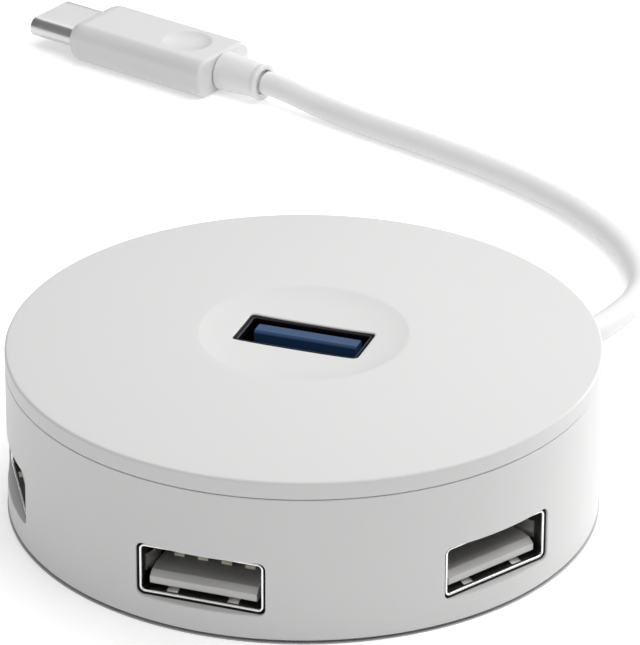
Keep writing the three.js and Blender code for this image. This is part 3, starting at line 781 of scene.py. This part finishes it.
CABLE_PATH_Z = 1.47  # the cable's axis where it lies on the table


def out_from_hub(distance, z):
    """A point straight out from the cable's exit."""
    angle = math.radians(CABLE_ANGLE)
    return (distance * math.sin(angle), -distance * math.cos(angle), z)


HEADING = Vector((math.cos(math.radians(PLUG_HEADING)), math.sin(math.radians(PLUG_HEADING)), 0))
PLUG_LENGTH = PLUG_SHELL["length"] + OVERMOLD["length"] + SLEEVE["length"]
SLEEVE_END = Vector((*PLUG_TIP, PLUG_AXIS_Z)) - HEADING * (PLUG_LENGTH + JOIN_GAP)


def before_sleeve(distance, z):
    """A point on the cable, a distance before it enters the plug's sleeve."""
    point = SLEEVE_END - HEADING * distance
    return (point.x, point.y, z)


CABLE_ROUTE = [
    out_from_hub(RELIEF_TIP + JOIN_GAP, CABLE_EXIT_Z),
    out_from_hub(35, 4.5), out_from_hub(38, 3.9), out_from_hub(41.5, 2.8),
    out_from_hub(45, 1.95), out_from_hub(48, 1.55),
    *[(x, y, CABLE_PATH_Z) for x, y in [
        (19.2, 48.9), (19.8, 52.5), (19.6, 56.2), (18.3, 60.0), (16.1, 63.9), (12.8, 68.0),
        (8.9, 71.7), (4.2, 75.2), (-1.6, 78.6), (-8.8, 82.0), (-16.4, 85.0), (-24.0, 87.8)]],
    before_sleeve(8, 1.65), before_sleeve(4, 2.2), before_sleeve(1.5, 2.45),
    tuple(SLEEVE_END),
]


def plug_turn():
    """Sets a piece drawn along -X from the plug's tip at the origin, top up, in its place."""
    return (Matrix.Translation(Vector((*PLUG_TIP, PLUG_AXIS_Z)) * MM)
            @ Matrix.Rotation(math.radians(PLUG_HEADING), 4, "Z"))


def loft(surface, sections):
    """A closed body through sections of (x, points), its ends filled in."""
    rows = [[(x, y, z) for y, z in points] for x, points in sections]
    surface.grid(rows, closed=True)
    surface.cap(rows[0])
    surface.cap(rows[-1])


def make_cable():
    """The jacket: one open curve, from the strain relief to the plug's sleeve."""
    line = smooth_line(CABLE_ROUTE, 12)
    curve = bpy.data.curves.new("cable_jacket", "CURVE")
    curve.dimensions = "3D"
    curve.bevel_depth = CABLE_RADIUS * MM
    curve.bevel_resolution = 10
    curve.use_fill_caps = True
    spline = curve.splines.new("POLY")
    spline.points.add(len(line) - 1)
    for point, place in zip(spline.points, line):
        point.co = (*(place * MM), 1)
    spline.use_smooth = True
    curve.materials.append(CABLE)
    piece = bpy.data.objects.new("cable_jacket", curve)
    bpy.context.scene.collection.objects.link(piece)
    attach(piece, "root")
    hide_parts("cable")
    length = sum((b - a).length for a, b in zip(line, line[1:])) * MM
    return piece, length


def make_overmold():
    """The plug's grip: a rounded flat body with a shallow thumb dimple near its rear end."""
    width, height, length = (OVERMOLD[key] for key in ("width", "height", "length"))
    start = -PLUG_SHELL["length"]
    dimple_radius, dimple_depth, dimple_before_end = 3.05, 0.42, 5.6
    dimple_x = start - length + dimple_before_end
    front_round, front_in, rear_round, rear_in = 1.9, 0.95, 0.45, 0.3
    front_steps, middle_steps, rear_steps = 8, 130, 5
    stations = [front_round * (1 - math.cos(math.radians(90 * k / front_steps)))
                for k in range(front_steps)]
    stations += [front_round + (length - front_round - rear_round) * k / middle_steps
                 for k in range(middle_steps + 1)]
    stations += [length - rear_round * (1 - math.sin(math.radians(90 * k / rear_steps)))
                 for k in range(1, rear_steps + 1)]
    sections = []
    for along in stations:
        inset = 0
        if along < front_round:
            t = 1 - along / front_round
            inset = front_in * (1 - math.sqrt(max(1 - t * t, 0)))
        elif along > length - rear_round:
            t = 1 - (length - along) / rear_round
            inset = rear_in * (1 - math.sqrt(max(1 - t * t, 0)))
        outline = rounded_rectangle(width - 2 * inset, height - 2 * inset,
                                    OVERMOLD["corner"] - inset * 0.3, 44, 12)
        x = start - along
        points = []
        for y, z in outline:
            distance = math.hypot(x - dimple_x, y) / dimple_radius
            if z > 0 and distance < 1:
                z -= dimple_depth * (1 - distance ** 3)
            points.append((y, z))
        sections.append((x, points))
    surface = Surface()
    loft(surface, sections)
    return surface.piece("plug_overmold_fine", OVERMOLD_WHITE, "cable_white", plug_turn(),
                         nodes=["plug_overmold"])


def make_sleeve():
    """The soft sleeve behind the grip, with a collar and a hollow end round the cable."""
    start = -(PLUG_SHELL["length"] + OVERMOLD["length"] + 0.08)
    end = -PLUG_LENGTH
    radius, end_radius, collar, collar_length = (
        SLEEVE[key] for key in ("radius", "end_radius", "collar_radius", "collar_length"))
    lip, bore = 0.12, CABLE_RADIUS + 0.1
    collar_start = end + collar_length
    profile = [(start, 0), (start, radius - 0.1), (start - 0.1, radius),
               (collar_start + 0.3, end_radius), (collar_start + 0.08, end_radius + 0.02),
               (collar_start - 0.1, collar - 0.02), (collar_start - 0.2, collar)]
    profile += [(x, r) for r, x in quarter_round(collar - lip, end + lip, lip, 0)]
    profile += [(end, bore + 0.1), (end + 0.1, bore), (end + 0.6, bore), (end + 0.6, 0)]
    count = 96
    rows = []
    for k in range(count + 1):
        a = 2 * math.pi * k / count
        rows.append([(x, r * math.cos(a), r * math.sin(a)) for x, r in profile])
    surface = Surface()
    surface.grid(rows)
    return surface.piece("plug_sleeve_fine", CABLE, "cable_white", plug_turn(),
                         nodes=["plug_sleeve"])


def make_plug_tip():
    """The USB-C connector: a seamless drawn shell round a black insert with an open slot."""
    width, height, length, wall = (PLUG_SHELL[k] for k in ("width", "height", "length", "wall"))
    surface = Surface()
    sleeve_of_metal(surface, width, height, height / 2 - 0.01, wall, 0, length - 0.1,
                    lambda y, along, z: (-along, y, z))
    shell = surface.piece("plug_shell_fine", (PLUG_NICKEL, NICKEL_PAINTED_SHADE), "socket_nickel",
                          plug_turn(), nodes=["plug_shell"])
    clearance = 0.06
    inner_width, inner_height = width - 2 * wall - clearance, height - 2 * wall - clearance
    slot_width, slot_height, slot_depth = 6.7, 0.75, 4.2
    surface = Surface()

    def loop(w, h, along):
        return [(-along, y, z) for y, z in rounded_rectangle(w, h, h / 2 - 0.01, 10, 8)]

    rows = [loop(inner_width, inner_height, length - 0.15), loop(inner_width, inner_height, 0.6),
            loop(inner_width - 0.12, inner_height - 0.12, 0.5),
            loop(slot_width + 0.3, slot_height + 0.3, 0.5), loop(slot_width, slot_height, 0.68),
            loop(slot_width, slot_height, slot_depth)]
    surface.grid(rows, closed=True)
    surface.cap(rows[0])
    surface.cap(rows[-1])
    insert = surface.piece("plug_insert_fine", CHIP, "chip_black", plug_turn(),
                           nodes=["plug_insert"])
    return shell, insert


def make_strain_relief():
    """The tapered nub that the cable leaves the housing through, with a flange inside."""
    flange_inner, flange_outer, flange_radius = 26.6, 27.8, 2.6
    neck_radius, tip_radius, tip_edge = 2.15, 1.8, 0.15
    bore, bore_end = CABLE_RADIUS + 0.1, RELIEF_TIP - 0.25
    profile = [(flange_inner, 0), (flange_inner, flange_radius), (flange_outer, flange_radius),
               (flange_outer, neck_radius), (BODY_RADIUS - 0.2, neck_radius),
               (BODY_RADIUS + 0.3, neck_radius - 0.05), (RELIEF_TIP - tip_edge, tip_radius),
               (RELIEF_TIP, tip_radius - tip_edge), (RELIEF_TIP, bore), (bore_end, bore - 0.05),
               (bore_end, 0)]
    rows = []
    count = 96
    for k in range(count + 1):
        a = 2 * math.pi * k / count
        rows.append([(r * math.cos(a), -d, CABLE_EXIT_Z + r * math.sin(a)) for d, r in profile])
    surface = Surface()
    surface.grid(rows)
    return surface.piece("cable_strain_relief_fine", CABLE, "cable_white",
                         turned_to(CABLE_ANGLE), nodes=["cable_strain_relief"])


# ---- The pieces that keep their CAD shape get their finish here ----

FINISHES = {
    "main_board": BOARD, "hub_controller_chip": CHIP, "power_regulator": CHIP,
    "crystal": STEEL, "bulk_capacitor": STEEL, "cable_clamp": STEEL, "resettable_fuse": CERAMIC,
    "cable_header": PALE_TONGUE, "inner_cable": CABLE,
    **{f"filter_capacitor_{k}": CERAMIC for k in (1, 2, 3)},
    **{f"case_screw_{k}": STEEL for k in (1, 2, 3, 4)},
}


def finish_cad_nodes():
    """Gives the pieces that stay as they are in CAD their procedural materials."""
    for node, material in FINISHES.items():
        mesh_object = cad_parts[node]
        if not mesh_object.material_slots:
            mesh_object.data.materials.append(material)
        mesh_object.material_slots[0].material = material


# ---- The stage: floor, lights and camera ----


def make_camera():
    """A long lens that looks down on the hub from its front right."""
    # Distance from the hub's axis, height over the table, and degrees from -Y towards +X.
    distance, height, angle = 458.14, 248.3, 19.9
    pan, tilt_down, roll = math.radians(19.694), math.radians(26.481), 0.0035
    data = bpy.data.cameras.new("camera")
    data.lens = 280.66
    data.sensor_width = 36
    camera = bpy.data.objects.new("camera", data)
    camera.matrix_world = (
        Matrix.Translation(Vector(on_wall(distance, math.radians(angle), height)) * MM)
        @ Matrix.Rotation(pan, 4, "Z")
        @ Matrix.Rotation(math.pi / 2 - tilt_down, 4, "X")
        @ Matrix.Rotation(roll, 4, "Z"))
    bpy.context.scene.collection.objects.link(camera)
    bpy.context.scene.camera = camera


def around(angle, elevation, distance):
    """A place in metres round the hub, at an angle from -Y towards +X."""
    a, e = math.radians(angle), math.radians(elevation)
    level = distance * math.cos(e)
    return (level * math.sin(a), -level * math.cos(a), distance * math.sin(e))


def softbox(name, place, size, watts):
    """A rectangular area light of this size in metres, facing the hub."""
    data = bpy.data.lights.new(name, "AREA")
    data.shape = "RECTANGLE"
    data.size, data.size_y = size
    data.energy = watts
    light = bpy.data.objects.new(name, data)
    light.location = place
    light.rotation_euler = (-Vector(place)).to_track_quat("-Z", "Y").to_euler()
    bpy.context.scene.collection.objects.link(light)


def make_floor():
    """A round pale floor that glows a little, with a plain darker disc under the hub as painted shadow.
    """
    reach, rim, count = 3.0, (BODY_RADIUS + 0.1) * MM, 128
    turns = [2 * math.pi * k / count for k in range(count)]
    inner = [(rim * math.cos(a), rim * math.sin(a), 0) for a in turns]
    outer = [(reach * math.cos(a), reach * math.sin(a), 0) for a in turns]
    around_hub = [(k, (k + 1) % count, count + (k + 1) % count, count + k)
                  for k in range(count)]
    lit_paint = new_material("floor_paint", (0.86, 0.86, 0.86), 0.8, variation=0.0, scale=10,
                             bump=0, Emission_Color=(1, 1, 1, 1), Emission_Strength=0.34)
    # The disc under the hub is darker and does not glow: painted shadow in the gap beneath the body.
    painted_shadow_paint = new_material("painted_shadow_floor_paint", (0.6, 0.6, 0.6), 0.8, variation=0.0,
                                scale=10, bump=0)
    for name, points, faces, paint in [
            ("floor", inner + outer, around_hub, lit_paint),
            ("floor_under_hub", inner, [tuple(range(count))], painted_shadow_paint)]:
        mesh = bpy.data.meshes.new(name)
        mesh.from_pydata(points, [], faces)
        mesh.materials.append(paint)
        floor = bpy.data.objects.new(name, mesh)
        bpy.context.scene.collection.objects.link(floor)


def make_lights():
    """Softboxes above, behind, to the front left and to the right, in an even white surround."""
    world = bpy.data.worlds.new("studio")
    bpy.context.scene.world = world
    world.use_nodes = True
    background = world.node_tree.nodes["Background"]
    background.inputs["Color"].default_value = (1, 1, 1, 1)
    background.inputs["Strength"].default_value = 0.2
    softbox("overhead", (0.28, 0.02, 1.1), (1.3, 1.3), 11.3)
    softbox("back", around(190, 35, 1.1), (0.9, 0.6), 2.6)
    softbox("front_left", around(-30, 35, 1.0), (0.6, 0.6), 0.9)
    softbox("rim_right", around(150, 10, 1.0), (0.5, 0.3), 4.4)
    softbox("near_right", (0.13, 0.08, 0.20), (0.12, 0.12), 0.15)
    bpy.context.scene.view_settings.view_transform = "Standard"


make_camera()
cable, cable_length = make_cable()
overmold = make_overmold()
sleeve = make_sleeve()
plug_shell, plug_insert = make_plug_tip()
make_strain_relief()
make_side_housing()
make_top_cover()
make_base()
for socket, angle in SIDE_SOCKETS.items():
    make_side_socket(socket, angle)
make_top_socket()
finish_cad_nodes()
make_floor()
make_lights()
